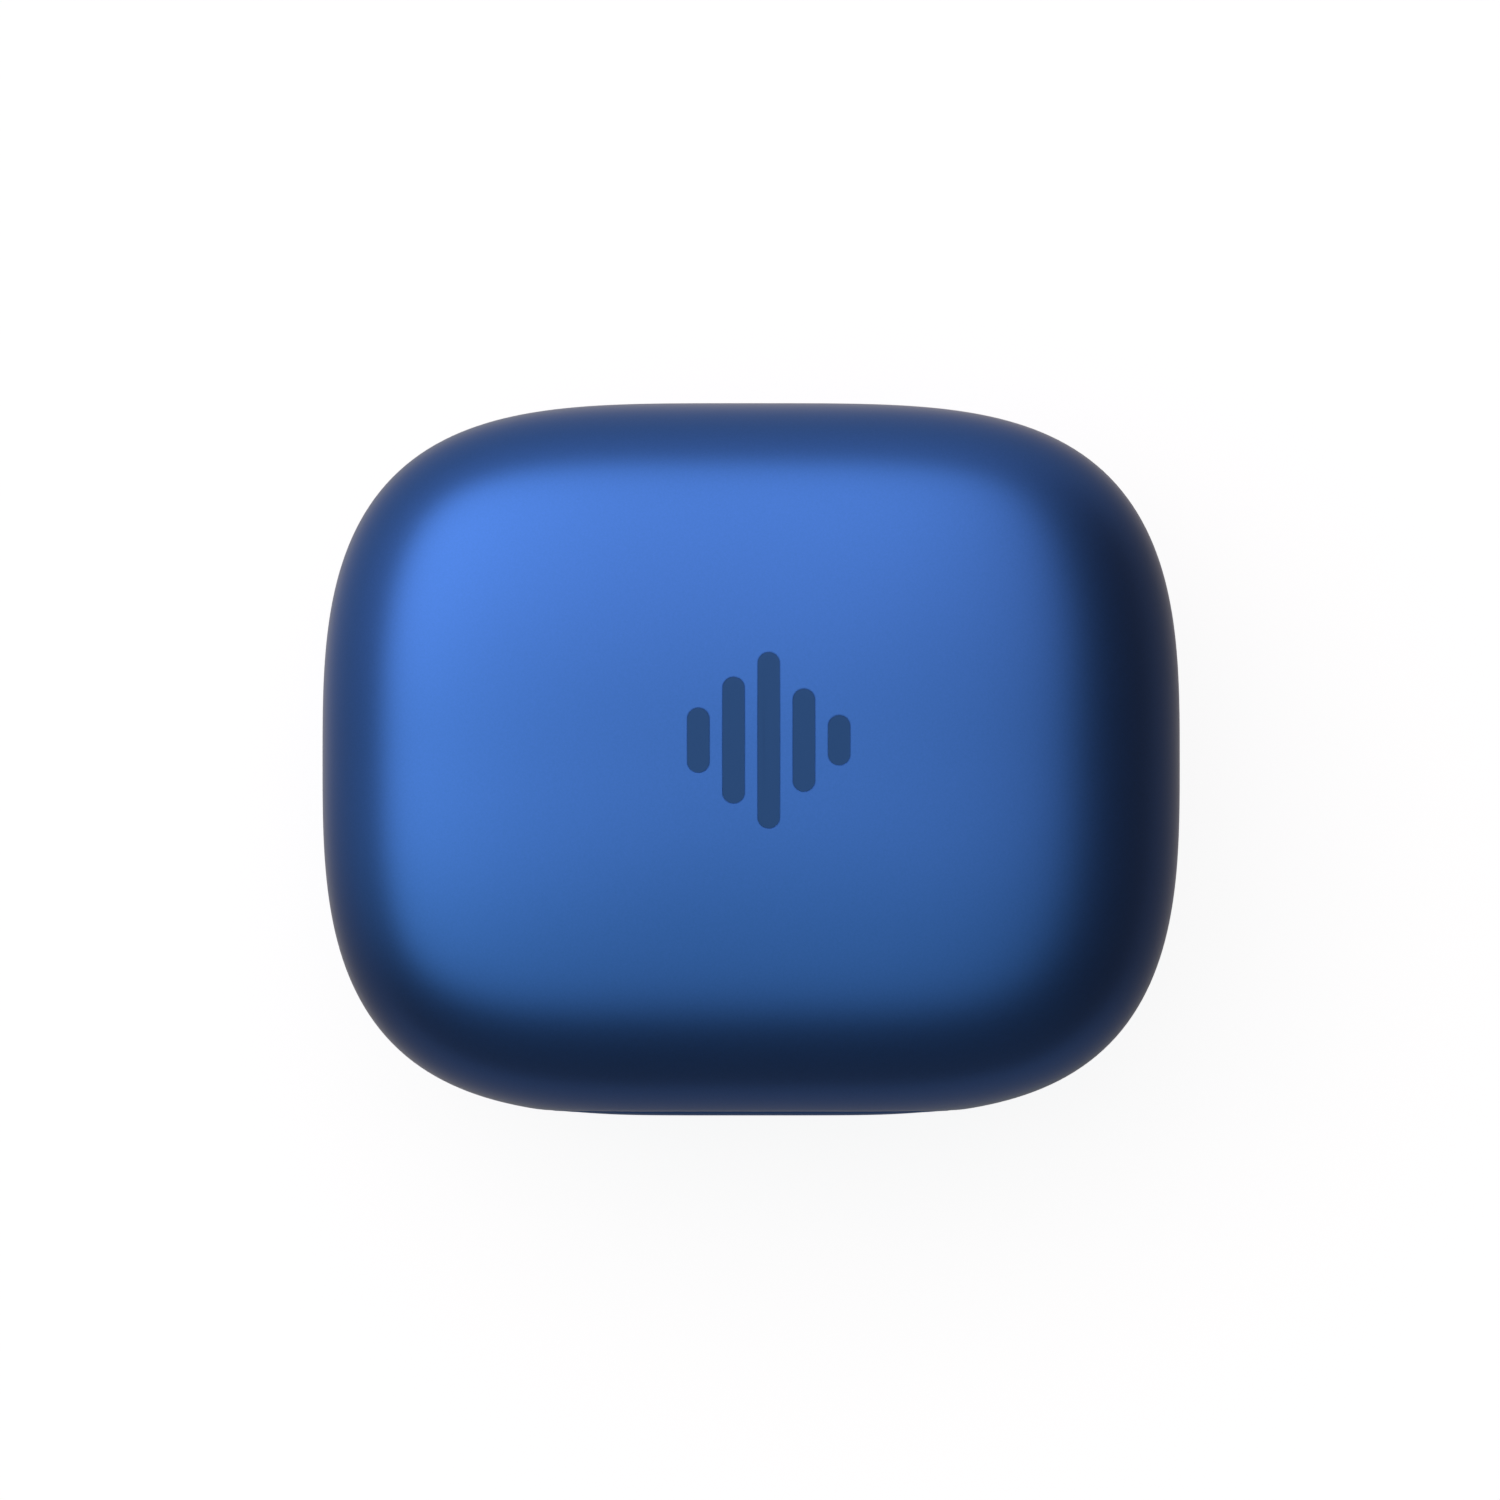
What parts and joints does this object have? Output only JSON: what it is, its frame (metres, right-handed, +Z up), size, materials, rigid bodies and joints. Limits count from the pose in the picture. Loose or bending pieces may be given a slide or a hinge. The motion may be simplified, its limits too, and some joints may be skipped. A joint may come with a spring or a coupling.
{
  "type": "wireless earbuds charging case",
  "caption": "Palm-sized pebble-shaped charging case for in-ear earbuds: satin blue clamshell with a hidden rear hinge, sprung contacts in two wells and a USB-C port.",
  "frame": {"origin": "centre of the flat foot, on the table", "axes": "+Z up towards the lid's crown, +X along the width, -Y towards the front where the lid is lifted, +Y towards the hinge and the port"},
  "size_m": [0.06, 0.05, 0.028],
  "materials": {
    "shell_blue": "satin blue metallic paint with a very fine grain, on moulded plastic",
    "navy_inlay": "smooth dark navy print in a shallow recess",
    "tray_navy": "fine matt navy moulding",
    "steel": "satin stainless steel",
    "spring_steel": "drawn spring wire",
    "arm_metal": "dark plated steel",
    "trim_metal": "bead-blasted aluminium",
    "clear_plastic": "milky clear plastic",
    "led_lens": "yellowish lamp lens",
    "circuit_board": "dark green solder mask",
    "black_plastic": "black moulded plastic",
    "white_plastic": "ivory moulded plastic",
    "copper": "enamelled copper wire",
    "ferrite": "dark grey ferrite sheet",
    "foam": "grey adhesive foam",
    "cell_foil": "silver pouch foil",
    "lead_sleeve": "red and black insulation",
    "flex_film": "amber polyimide film",
    "gold": "gold plating",
    "magnet": "bright nickel plating",
    "soft_rubber": "black silicone"
  },
  "bodies": {
    "base": {"base_shell": "shell_blue", "cradle_tray": "tray_navy", "tray_screws": "steel", "light_pipe": "clear_plastic", "led_board": "circuit_board", "status_leds": "led_lens", "front_flex": "flex_film", "charging_coil": "copper", "ferrite_sheet": "ferrite", "battery_pad": "foam", "battery_cell": "cell_foil", "battery_leads": "lead_sleeve", "battery_plug": "white_plastic", "main_board": "circuit_board", "board_chips": "black_plastic", "shield_can": "steel", "board_screws": "steel", "usb_receptacle": "steel", "usb_tongue": "black_plastic", "usb_contacts": "gold", "usb_trim": "trim_metal", "button_switch": "black_plastic", "contact_block_left": "black_plastic", "contact_block_right": "black_plastic", "contact_flexes": "flex_film", "bud_magnets": "magnet", "latch_magnets": "magnet", "lid_sensor": "black_plastic", "hinge_bracket": "steel", "bracket_screws": "steel", "hinge_pin": "steel", "hinge_spring": "spring_steel", "contact_spring_left_outer": "spring_steel", "contact_spring_left_inner": "spring_steel", "contact_spring_right_outer": "spring_steel", "contact_spring_right_inner": "spring_steel"},
    "lid": {"lid_shell": "shell_blue", "lid_liner": "tray_navy", "lid_emblem": "navy_inlay", "hinge_arm": "arm_metal", "arm_screws": "steel", "lid_magnets": "magnet", "sensor_magnet": "magnet", "lid_bumpers": "soft_rubber"},
    "pairing_button": {"pairing_button": "shell_blue", "switch_plunger": "white_plastic"},
    "contact_pin_left_outer": {"contact_pin_left_outer": "gold"},
    "contact_pin_left_inner": {"contact_pin_left_inner": "gold"},
    "contact_pin_right_outer": {"contact_pin_right_outer": "gold"},
    "contact_pin_right_inner": {"contact_pin_right_inner": "gold"}
  },
  "joints": [
    {"name": "lid_hinge", "type": "hinge", "parent": "base", "child": "lid", "pos_m": [0, 0.0219, 0.0111], "axis": [-1, 0, 0], "range_deg": [0, 95]},
    {"name": "button_press", "type": "slide", "parent": "base", "child": "pairing_button", "axis": [0, -1, 0], "range_m": [0, 0.00025], "stiffness_N_per_m": 800, "springref_m": -0.0003},
    {"name": "contact_pin_left_outer_press", "type": "slide", "parent": "base", "child": "contact_pin_left_outer", "axis": [0, 0, -1], "range_m": [0, 0.0006], "stiffness_N_per_m": 300, "springref_m": -0.0008, "deforming": ["contact_spring_left_outer"]},
    {"name": "contact_pin_left_inner_press", "type": "slide", "parent": "base", "child": "contact_pin_left_inner", "axis": [0, 0, -1], "range_m": [0, 0.0006], "stiffness_N_per_m": 300, "springref_m": -0.0008, "deforming": ["contact_spring_left_inner"]},
    {"name": "contact_pin_right_outer_press", "type": "slide", "parent": "base", "child": "contact_pin_right_outer", "axis": [0, 0, -1], "range_m": [0, 0.0006], "stiffness_N_per_m": 300, "springref_m": -0.0008, "deforming": ["contact_spring_right_outer"]},
    {"name": "contact_pin_right_inner_press", "type": "slide", "parent": "base", "child": "contact_pin_right_inner", "axis": [0, 0, -1], "range_m": [0, 0.0006], "stiffness_N_per_m": 300, "springref_m": -0.0008, "deforming": ["contact_spring_right_inner"]}
  ]
}
